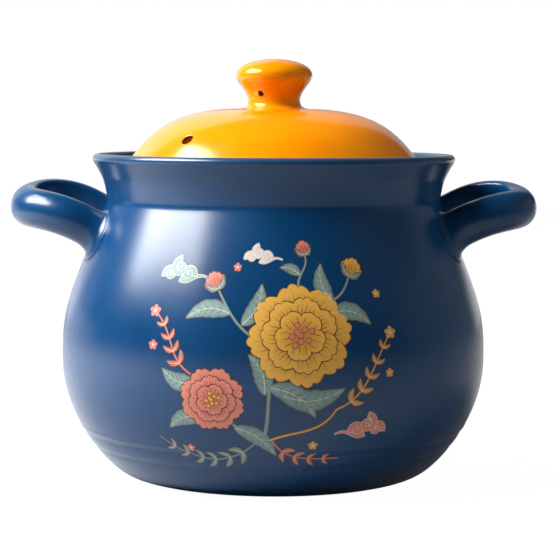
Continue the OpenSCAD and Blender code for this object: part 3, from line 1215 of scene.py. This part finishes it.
@dataclass
class Decoration:
    """Enamel peonies, leaves and cloud scrolls, laid on the front of the pot.

    A patch is a grid of points on a flat sheet, in millimetres right of and above the middle
    of the painted field. The sheet is wrapped round the pot, and each patch becomes a thin
    closed shell with its underside just inside the glaze.
    """

    pot: PotBody
    middle: float = 83.5
    wrap_radius: float = 116.0
    lift: float = 0.05
    layer_step: float = 0.03
    sunk: float = 0.06
    shells: dict[Ink, list[tuple[Array, Array]]] = field(default_factory=dict)

    def __post_init__(self) -> None:
        """Find the middle of the field on the pot's profile."""
        profile = self.pot.profile
        self.centre = profile.where(self.middle, "shoulder")
        self.normals = profile.outward()

    def _wrap(self, flat: Array, height: Array) -> Array:
        """Wrap points of the sheet round the pot.

        Args:
            flat: points on the sheet.
            height: how far above the glaze each lies.

        Returns:
            The points in the pot's frame.
        """
        profile = self.pot.profile
        along = self.centre + flat[..., 1]
        radius, level = profile.at(along)
        out = [np.interp(along, profile.along, self.normals[:, k]) for k in (0, 1)]
        return place(radius + height * out[0], level + height * out[1],
                     flat[..., 0] / self.wrap_radius)

    def lay(self, flat: Array, ink: Ink, layer: float, shade: Array) -> None:
        """Lay a patch.

        Its crown is half a layer times one less the sixth power of the way out, both across
        and down, so that it is level in its middle and rounds off at its edges.

        Args:
            flat: a grid of points on the sheet, rows by columns by two.
            ink: the enamel.
            layer: how many layers lie under it.
            shade: how deep its colour is at each point, from 0 to 1.
        """
        rows, columns = flat.shape[:2]
        across = np.linspace(-1, 1, columns)[None, :] ** 6
        down = np.linspace(-1, 1, rows)[:, None] ** 6
        crown = self.layer_step * 0.5 * (1 - across) * (1 - down)
        top = self._wrap(flat, self.lift + self.layer_step * layer + crown)
        bottom = self._wrap(flat, np.full(flat.shape[:2], -self.sunk))
        shell = np.stack([top, bottom]), np.broadcast_to(shade, (rows, columns))
        self.shells.setdefault(ink, []).append(shell)

    def stroke(self, line: Array, width: Array, ink: Ink, layer: float,
               outline: Ink | None = None, rim: float = 0.42) -> None:
        """Lay a brush stroke along a line.

        Its points are those of the line, moved square to it by plus and minus the width.

        Args:
            line: points on the sheet.
            width: half the stroke's width at each point.
            ink: the enamel.
            layer: how many layers lie under it.
            outline: the enamel of a wider stroke laid under it, if any.
            rim: how much wider that is on each side.
        """
        run = np.gradient(line, axis=0)
        run /= np.maximum(np.linalg.norm(run, axis=1, keepdims=True), 1e-9)
        square = run[:, ::-1] * (-1, 1)
        across = np.linspace(-1, 1, 9 if width.max() > 0.4 else 3)
        if outline:
            wide = line.copy()
            wide[0] -= run[0] * rim
            wide[-1] += run[-1] * rim
            edge = wide[:, None] + square[:, None] * (across[:, None]
                                                      * (width + rim)[:, None, None])
            self.lay(edge, outline, layer, np.full((1, 1), 0.2))
        flat = line[:, None] + square[:, None] * (across[:, None] * width[:, None, None])
        self.lay(flat, ink, layer + (1 if outline else 0), 0.75 * abs(across)[None, :] ** 3)

    def petal(self, root: Pair, aim: float, length: float, width: float, ink: Ink,
              layer: float, lobes: int = 3) -> None:
        """Lay a petal with a scalloped end, its veins and its outline.

        Its length is largest in its middle, less with the square of the distance from it, and
        a rectified sine adds the lobes. Its width grows with the sine of the way along it.

        Args:
            root: where it grows from, on the sheet.
            aim: the way that it points, in degrees from the right.
            length: how long it is.
            width: half its greatest width.
            ink: its enamel.
            layer: how many layers lie under it.
            lobes: how many lobes its end has.
        """
        turn = math.radians(aim)
        ahead = np.array([math.cos(turn), math.sin(turn)])
        aside = np.array([-math.sin(turn), math.cos(turn)])

        def sheet(u: Array, c: Array, more: float) -> Array:
            """Work out points of the petal.

            Args:
                u: shares of its length, from 0 to 1.
                c: shares of its half width, from -1 to 1.
                more: how much larger it is on every side.

            Returns:
                Points on the sheet.
            """
            scallop = 0.09 * abs(np.sin(lobes * math.pi * (c + 1) / 2)) ** 0.7
            reach = (length * (1 - 0.24 * c ** 2 + scallop) + more) * u
            half = (width + more) * (0.22 + 0.78 * np.sin(math.pi / 2 * u ** 0.8))
            return np.array(root) + reach[..., None] * ahead + (c * half)[..., None] * aside

        u, c = np.meshgrid(np.linspace(0, 1, 16), np.linspace(-1, 1, 8 * lobes + 1),
                           indexing="ij")
        self.lay(sheet(u[::3], c[::3], 0.42), Ink.BROWN, layer, np.full((1, 1), 0.3))
        self.lay(sheet(u, c, 0.0), ink, layer + 0.6, (1 - u) ** 1.2 * 0.95)
        for vein in np.linspace(-0.62, 0.62, 2 * lobes - 1):
            line = sheet(np.linspace(0.3, 0.82, 12), np.full(12, vein), 0.0)
            self.stroke(line, 0.16 * np.sin(np.linspace(0.2, math.pi - 0.05, 12)), Ink.BROWN,
                        layer + 1.2)

    def disc(self, middle: Pair, radius: float, ink: Ink, layer: float,
             deep: float = 0.2) -> None:
        """Lay a round dot: a square grid whose points move in to a circle.

        Each coordinate is scaled by the root of one less half the square of the other.

        Args:
            middle: its middle on the sheet.
            radius: its radius.
            ink: its enamel.
            layer: how many layers lie under it.
            deep: how deep its colour is.
        """
        a, b = np.meshgrid(np.linspace(-1, 1, 9), np.linspace(-1, 1, 9), indexing="ij")
        round_a, round_b = a * np.sqrt(1 - b * b / 2), b * np.sqrt(1 - a * a / 2)
        flat = np.array(middle) + radius * np.stack([round_a, round_b], axis=-1)
        self.lay(flat, ink, layer, np.full((1, 1), deep))

    def peony(self, middle: Pair, radius: float, ink: Ink, heart: Ink, turn: float) -> None:
        """Lay a peony: three rings of petals round a heart of stamens.

        Args:
            middle: its middle on the sheet.
            radius: its radius.
            ink: the enamel of its petals.
            heart: the enamel of its stamens.
            turn: how far it is turned, in degrees.
        """
        # Petals, reach, half width, lobes and inset of each ring: lengths as shares of the radius.
        rings = ((8, 1.0, 0.36, 3, 0.30), (7, 0.74, 0.29, 3, 0.20), (5, 0.48, 0.23, 2, 0.08))
        layer = 1.0
        for count, reach, width, lobes, inset in rings:
            for number in range(count):
                aim = turn + 360 * number / count + 17 * (reach < 0.9) + 25 * (reach < 0.6)
                root = polar(middle, 0.6 * inset * radius, math.radians(aim))
                self.petal(root, aim, (reach - 0.6 * inset) * radius, width * radius, ink,
                           layer + 0.28 * number, lobes)
            layer += 0.28 * count + 1.2
        for number in range(9):
            spot = polar(middle, 0.13 * radius * math.sqrt(number / 2.2), 2.4 * number)
            self.disc(spot, 0.055 * radius + 0.25, Ink.BROWN, layer + 0.3)
            self.disc(spot, 0.055 * radius, heart, layer + 1.2)

    def leaf(self, start: Pair, end: Pair, bow: float, width: float, ink: Ink = Ink.SAGE,
             layer: float = 0.0) -> None:
        """Lay a leaf along a bowed line, with a midrib and side veins.

        The line is straight plus a sine that bows it. Its width is the sine of the way along
        it to the power of 0.8, raised to the power of 0.85, and a rectified sine adds teeth.

        Args:
            start: where it grows from.
            end: its tip.
            bow: how far it bows to its left.
            width: half its greatest width.
            ink: its enamel.
            layer: how many layers lie under it.
        """
        t = np.linspace(0, 1, 28)
        a, b = np.array(start), np.array(end)
        left = np.array([-(b - a)[1], (b - a)[0]]) / np.linalg.norm(b - a)
        line = a + (b - a) * t[:, None] + left * (bow * np.sin(math.pi * t))[:, None]
        shape = width * np.sin(math.pi * t ** 0.8) ** 0.85 + 0.05
        teeth = 1 + 0.10 * abs(np.sin(4.5 * math.pi * t))
        self.stroke(line, shape * teeth, ink, layer, outline=Ink.BROWN)
        rib = line[1:-2]
        self.stroke(rib, np.linspace(0.28, 0.1, len(rib)), Ink.WHITE, layer + 2.2)
        run = np.gradient(line, axis=0)
        for k in range(5, 23, 4):
            for hand in (-1, 1):
                ahead = run[k] / np.linalg.norm(run[k])
                aside = np.array([-ahead[1], ahead[0]]) * hand
                reach = shape[k] * 0.72
                s = np.linspace(0, 1, 8)[:, None]
                vein = line[k] + s * reach * (aside + 0.8 * ahead) + 0.1 * reach * s * s * ahead
                self.stroke(vein, np.linspace(0.18, 0.08, 8), Ink.BROWN, layer + 2.0)

    def stem(self, points: Sequence[Pair], width: float, ink: Ink = Ink.SAGE) -> None:
        """Lay a stem through a start, two pulls and an end, as a cubic curve."""
        self.stroke(Cubic(*points).points(36), width * np.linspace(1.15, 0.7, 37), ink, 0.0,
                    outline=Ink.BROWN, rim=0.3)

    def scroll(self, start: Pair, aim: float, radius: float, turns: float, hand: int,
               ink: Ink, layer: float, width: float) -> None:
        """Lay a curl of cloud, wound in to its eye.

        Its distance from the eye is the radius times one less 0.86 of the way along it to the
        power of 0.8, while it turns evenly.

        Args:
            start: the eye of the curl.
            aim: the way from the eye to where the curl starts, in degrees.
            radius: the distance of its start from the eye.
            turns: how many times it goes round.
            hand: one to wind left, minus one to wind right.
            ink: its enamel.
            layer: how many layers lie under it.
            width: half its width at the start.
        """
        t = np.linspace(0, 1, 56)
        far = radius * (1 - 0.86 * t ** 0.8)
        way = math.radians(aim) + hand * 2 * math.pi * turns * t
        line = np.array(start) + far[:, None] * np.stack([np.cos(way), np.sin(way)], axis=1)
        self.stroke(line, width * (1 - 0.5 * t), ink, layer, outline=Ink.WHITE, rim=0.4)

    def cloud(self, middle: Pair, size: float, ink: Ink, hand: int) -> None:
        """Lay a cloud of three curls over a trailing wisp, which is a cubic curve.

        Args:
            middle: its middle on the sheet.
            size: its half length.
            ink: its enamel.
            hand: one for a wisp to the right, minus one to the left.
        """
        x, y = middle
        tail = Cubic((x + hand * 0.1 * size, y - 0.30 * size),
                     (x + hand * 0.7 * size, y - 0.62 * size),
                     (x + hand * 1.0 * size, y + 0.15 * size),
                     (x + hand * 1.75 * size, y - 0.22 * size)).points(30)
        self.stroke(tail, 0.15 * size * np.linspace(1.0, 0.12, 31), ink, 0.0, outline=Ink.WHITE)
        # Each curl's place and radius as shares of the size, its start, its hand and its layer.
        for dx, dy, scale, aim, way, layer in (
                (-0.62, -0.05, 0.42, 200, -1, 0.0), (0.55, 0.0, 0.40, -20, 1, 1.5),
                (-0.02, 0.30, 0.52, 90, 1, 3.0)):
            eye = (x + hand * dx * size, y + dy * size)
            start = aim if hand > 0 else 180 - aim
            self.disc(eye, 0.62 * scale * size, Ink.WHITE, layer, 0.1)
            self.disc(eye, 0.62 * scale * size - 0.5, ink, layer + 1.0, 0.5)
            self.scroll(eye, start, scale * size, 1.35, way * hand, ink, layer + 2.0,
                        0.13 * size)

    def bud(self, middle: Pair, aim: float, size: float, ink: Ink) -> None:
        """Lay a half-open bud: a fan of five petals over two small leaves.

        Args:
            middle: where its petals meet, on the sheet.
            aim: the way that it points, in degrees from the right.
            size: how long its petals are.
            ink: their enamel.
        """
        for offset in (-34, 34, -15, 17, 0):
            self.petal(middle, aim + offset, size * (1.05 - 0.006 * abs(offset)),
                       0.34 * size, ink, 1.0 + 0.05 * (34 - abs(offset)), 2)
        for offset, bow in ((47, 1.0), (-50, -1.0)):
            tip = polar(middle, 0.76 * size, math.radians(aim + offset))
            self.leaf(middle, tip, bow, 0.16 * size, layer=3)

    def blossom(self, x: float, y: float, size: float, ink: Ink) -> None:
        """Lay a small flower of five round petals about a pale heart.

        Args:
            x: how far to the right its middle is, on the sheet.
            y: how far up.
            size: the radius of a petal.
            ink: the enamel of the petals.
        """
        for angle in range(18, 378, 72):
            self.disc(polar((x, y), 1.7 * size, math.radians(angle)), size, ink, 0.0, 0.3)
        self.disc((x, y), 0.8 * size, Ink.WHITE, 1.4)

    def sprig(self, points: Sequence[Pair], pairs: int, size: float, ink: Ink,
              flower: Ink | None = None) -> None:
        """Lay a thin stem with pairs of small leaves, which shrink towards its tip.

        Args:
            points: its start, two pulls and its end, on the sheet.
            pairs: how many pairs of leaves it has.
            size: how long the first leaves are.
            ink: the enamel of stem and leaves.
            flower: the enamel of a blossom at its tip, if any.
        """
        line = Cubic(*points).points()
        self.stem(points, 0.38, ink)
        for number in range(pairs):
            k = round(60 * (number + 1) / (pairs + 1))
            run = line[k] - line[k - 1]
            run /= np.linalg.norm(run)
            far = size * (1 - 0.45 * number / pairs)
            for hand in (-1, 1):
                aside = np.array([-run[1], run[0]]) * hand
                tip = line[k] + far * (0.72 * run + 0.70 * aside)
                self.leaf(tuple(line[k]), tuple(tip), 0.1 * far * hand, 0.19 * far, ink, 0.4)
        if flower:
            self.blossom(*line[-1], 1.25, flower)

    def compose(self) -> None:
        """Lay the whole spray: sprigs, stems, leaves, flowers, buds, clouds and blossoms."""
        self.sprig(((-8, -48), (-26, -68), (-46, -62), (-64, -48)), 6, 8.0, Ink.SAGE)
        self.sprig(((-42, -12), (-56, -4), (-50, 8), (-65, 20)), 4, 7.0, Ink.CORAL,
                   Ink.CORAL)
        self.sprig(((33, -30), (50, -24), (52, -6), (63, 9)), 5, 7.0, Ink.GOLD, Ink.GOLD)
        self.sprig(((0, -48), (8, -62), (22, -60), (38, -60)), 4, 7.0, Ink.CORAL)
        self.stem(((-6, -50), (2, -30), (-8, -12), (10, 6)), 0.9)
        self.stem(((-6, -50), (-12, -44), (-22, -40), (-30, -26)), 0.75)
        self.stem(((8, 10), (30, 34), (34, 20), (43, 40)), 0.65)
        self.stem(((-2, 4), (-18, 10), (-22, 20), (-30, 33)), 0.6)
        self.stem(((14, 32), (12, 42), (21, 44), (18, 52)), 0.55)
        self.stem(((-6, -50), (10, -40), (24, -46), (33, -30)), 0.6, Ink.GOLD)
        for start, end, bow, width in (
                ((-4, -22), (-12, -1), -3.0, 4.4), ((-2, -18), (22, -34), 4.0, 5.0),
                ((4, -22), (37, -19), -4.5, 5.2), ((30, 20), (52, 14), 4.0, 4.4),
                ((32, 26), (27, 47), 3.0, 4.0), ((-16, 14), (-6, 36), -3.0, 4.2),
                ((-22, 20), (-46, 17), -4.0, 4.4), ((-20, -40), (2, -57), 3.0, 4.2),
                ((-36, -36), (-56, -42), -3.5, 4.2), ((-38, -16), (-58, -10), 3.5, 4.4),
                ((15, 41), (4, 45), -1.5, 2.6)):
            self.leaf(start, end, bow, width)
        self.peony((14, 9), 25.5, Ink.GOLD, Ink.CORAL, 8)
        self.peony((-31, -25), 16.0, Ink.CORAL, Ink.GOLD, 25)
        self.bud((43, 40), 62, 9.5, Ink.GOLD)
        self.bud((-30, 33), 118, 9.0, Ink.CORAL)
        self.bud((18, 52), 100, 7.0, Ink.CORAL)
        self.cloud((-54, 41), 10.0, Ink.SAGE, 1)
        self.cloud((51, -42), 10.0, Ink.CORAL, -1)
        self.cloud((-8, 51), 7.5, Ink.WHITE, 1)
        for x, y, size in ((-20, 45, 0.9), (-64, 2, 1.0), (58, 30, 0.9), (-46, -54, 0.9),
                           (22, -51, 1.0), (62, -12, 0.9)):
            self.blossom(x, y, size, Ink.CORAL if x < 0 else Ink.GOLD)

    def build(self) -> None:
        """Make one piece of each enamel, from all its shells."""
        self.compose()
        for ink, shells in self.shells.items():
            points, faces, shades, first = [], [], [], 0
            for layers, shade in shells:
                top, under = first + np.arange(2 * shade.size).reshape(2, *shade.shape)
                edges = [np.concatenate([grid[0, :-1], grid[:-1, -1], grid[-1, :0:-1],
                                         grid[:0:-1, 0]]) for grid in (under, top)]
                faces += [cells(top), cells(under)[:, ::-1], cells(closed(np.stack(edges)))]
                points.append(layers.reshape(-1, 3))
                shades.append(np.tile(shade.ravel(), 2))
                first += 2 * shade.size
            piece = new_piece(f"painted_{ink.name.lower()}", np.concatenate(points),
                              [np.concatenate(faces)], {"shade": np.concatenate(shades)}, 40.0)
            fit_piece(piece, Body.POT, Slot.NAVY, ink.value.material())


@dataclass(frozen=True)
class Softbox:
    """A large soft lamp that faces the pot.

    It hangs at a distance in its direction from the pot, and a roll turns it about that
    direction. One that isn't reflected lights the glaze but leaves no highlight on it.
    """

    name: str
    way: tuple[float, float, float]
    distance: float
    width: float
    height: float
    power: float
    shape: str = "RECTANGLE"
    roll: float = 0.0
    tint: str = "#ffffff"
    reflected: bool = True

    def build(self, aim: Vector) -> None:
        """Hang the lamp and turn it to a point.

        Args:
            aim: the point, in metres.
        """
        lamp = bpy.data.lights.new(self.name, "AREA")
        lamp.shape = self.shape
        lamp.size, lamp.size_y, lamp.energy = self.width, self.height, self.power
        lamp.color = linear(self.tint)[:3]
        holder = bpy.data.objects.new(self.name, lamp)
        way = Vector(self.way).normalized()
        turn = Matrix.Rotation(math.radians(self.roll), 4, "Z")
        facing = (-way).to_track_quat("-Z", "Y").to_matrix().to_4x4()
        holder.matrix_world = Matrix.Translation(aim + way * self.distance) @ facing @ turn
        holder.visible_camera, holder.visible_glossy = False, self.reflected
        bpy.context.scene.collection.objects.link(holder)


@dataclass
class Studio:
    """The pale floor, the white surroundings, the lamps and the camera.

    The paper of the floor and the light of the room each go from a low to a high value, the
    paper from the front right to the back left, as painted shade where the lamps' light falls
    off, and the room from the front to the back.
    """

    aim: tuple[float, float, float] = (0.0, 0.0, 0.11)
    lamps: tuple[Softbox, ...] = (
        Softbox("key_softbox", (-0.752, -0.181, 0.636), 1.25, 0.93, 0.43, 35.5, roll=20.0),
        Softbox("upper_softbox", (-0.602, 0.02, 0.80), 1.25, 0.64, 0.24, 8.2, roll=20.0),
        Softbox("left_backdrop", (-0.36, 0.856, 0.375), 2.2, 1.70, 2.30, 8.0, "ELLIPSE"),
        Softbox("right_backdrop", (0.20, 0.94, 0.276), 2.2, 0.94, 2.54, 1.9, "ELLIPSE"),
        Softbox("left_card", (-0.71, 0.69, 0.14), 1.6, 0.8, 1.0, 0.9),
        Softbox("right_fill", (0.86, -0.075, 0.50), 1.5, 1.6, 1.2, 8.4, tint="#ffeedd",
                reflected=False),
        Softbox("right_card", (0.95, 0.25, 0.14), 1.6, 1.7, 0.9, 0.7),
        Softbox("left_strip", (-0.71, 0.70, 0.01), 1.3, 1.3, 0.2, 0.5),
        Softbox("right_strip", (0.34, 0.94, 0.01), 1.3, 0.95, 0.2, 0.6),
    )
    floor_reach: float = 3000.0
    # The floor's colour from front right to back left: painted shade for the lamps' falloff.
    paper: Pair = (0.37, 0.72)
    glow: float = 1.14
    glow_share: float = 0.86
    room: Pair = (0.01, 0.05)
    lens: float = 130.99
    sensor: float = 36.0
    eye: tuple[float, float, float] = (0.0023, -1.15, 0.2082)
    looking_down: float = 4.758
    tilt: float = 0.25

    def floor(self) -> None:
        """Lay a pale floor, which the camera sees almost white with a faint shadow."""
        corners = np.array([[-1, -1, 0], [1, -1, 0], [1, 1, 0], [-1, 1, 0]])
        floor = new_piece("pale_floor", corners * self.floor_reach, [np.array([[0, 1, 2, 3]])])
        # Matt paper that glows evenly to the camera: nearly white, with the faintest shadow.
        # Its colour is painted shade, darker towards the front right where the lamps' light falls
        # off, and goes from low to high over half a metre.
        material, tree = new_material("pale_paper")
        side = add_node(tree, "VectorMath", {"operation": "DOT_PRODUCT"}, {
            0: add_node(tree, "TexCoord").outputs["Object"],
            1: (-0.6, 0.8, 0.0)}).outputs["Value"]
        white = spread(tree, side, *self.paper, -0.25, 0.25, "SMOOTHSTEP")
        seen = add_node(tree, "LightPath").outputs["Is Camera Ray"]
        share = add_node(tree, "Math", {"operation": "MULTIPLY"}, {0: seen, 1: self.glow_share})
        paper = add_node(tree, "BsdfDiffuse", inputs={"Color": white})
        glow = add_node(tree, "Emission", inputs={"Color": (1, 1, 1, 1), "Strength": self.glow})
        finish(tree, add_node(tree, "MixShader", inputs={
            0: share.outputs[0], 1: paper.outputs[0], 2: glow.outputs[0]}))
        floor.data.materials.append(material)

    def surroundings(self) -> None:
        """Light the pot from a room that is bright behind it and dim in front."""
        world = bpy.context.scene.world = bpy.data.worlds.new("studio")
        world.use_nodes = True
        tree = world.node_tree
        tree.nodes.clear()
        way = add_node(tree, "TexCoord").outputs["Generated"]
        depth = add_node(tree, "SeparateXYZ", inputs={0: way}).outputs["Y"]
        bright = spread(tree, depth, *self.room, -0.3, 0.6, "SMOOTHSTEP")
        seen = add_node(tree, "LightPath").outputs["Is Camera Ray"]
        strength = add_node(tree, "Mix", {"data_type": "FLOAT"}, {0: seen, 2: bright, 3: 1.0})
        finish(tree, add_node(tree, "Background", inputs={
            "Color": (1, 1, 1, 1), "Strength": strength.outputs[0]}), "OutputWorld")

    def camera(self) -> None:
        """Set up the camera at the photograph's angle."""
        lens = bpy.data.cameras.new("camera")
        lens.lens, lens.sensor_width = self.lens, self.sensor
        camera = bpy.data.objects.new("camera", lens)
        pitch, roll = math.radians(90 - self.looking_down), math.radians(self.tilt)
        camera.matrix_world = (Matrix.Translation(self.eye) @ Matrix.Rotation(pitch, 4, "X")
                               @ Matrix.Rotation(roll, 4, "Z"))
        bpy.context.scene.collection.objects.link(camera)
        bpy.context.scene.camera = camera

    def build(self) -> None:
        """Set up floor, surroundings, lamps, camera and colour."""
        self.floor()
        self.surroundings()
        for lamp in self.lamps:
            lamp.build(Vector(self.aim))
        self.camera()
        bpy.context.scene.view_settings.view_transform = "Standard"


def main() -> None:
    """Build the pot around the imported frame."""
    logging.basicConfig(level=logging.INFO, format="%(message)s")
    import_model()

    navy = NAVY_SATIN.material()
    pot = PotBody()
    fit_piece(pot.build(), Body.POT, Slot.NAVY, navy, "pot_body")
    for side, node in ((Side.LEFT, "left_handle"), (Side.RIGHT, "right_handle")):
        fit_piece(LoopHandle(pot, side).build(), Body.POT, Slot.NAVY, navy, node)
    fit_piece(Lid().build(), Body.LID, Slot.YELLOW, AMBER_GLOSS.material(), "lid")
    fit_piece(Knob().build(), Body.LID, Slot.YELLOW, KNOB_AMBER.material(), "lid_knob")
    Decoration(pot).build()
    Studio().build()

    bpy.context.view_layer.update()


if __name__ == "__main__":
    main()
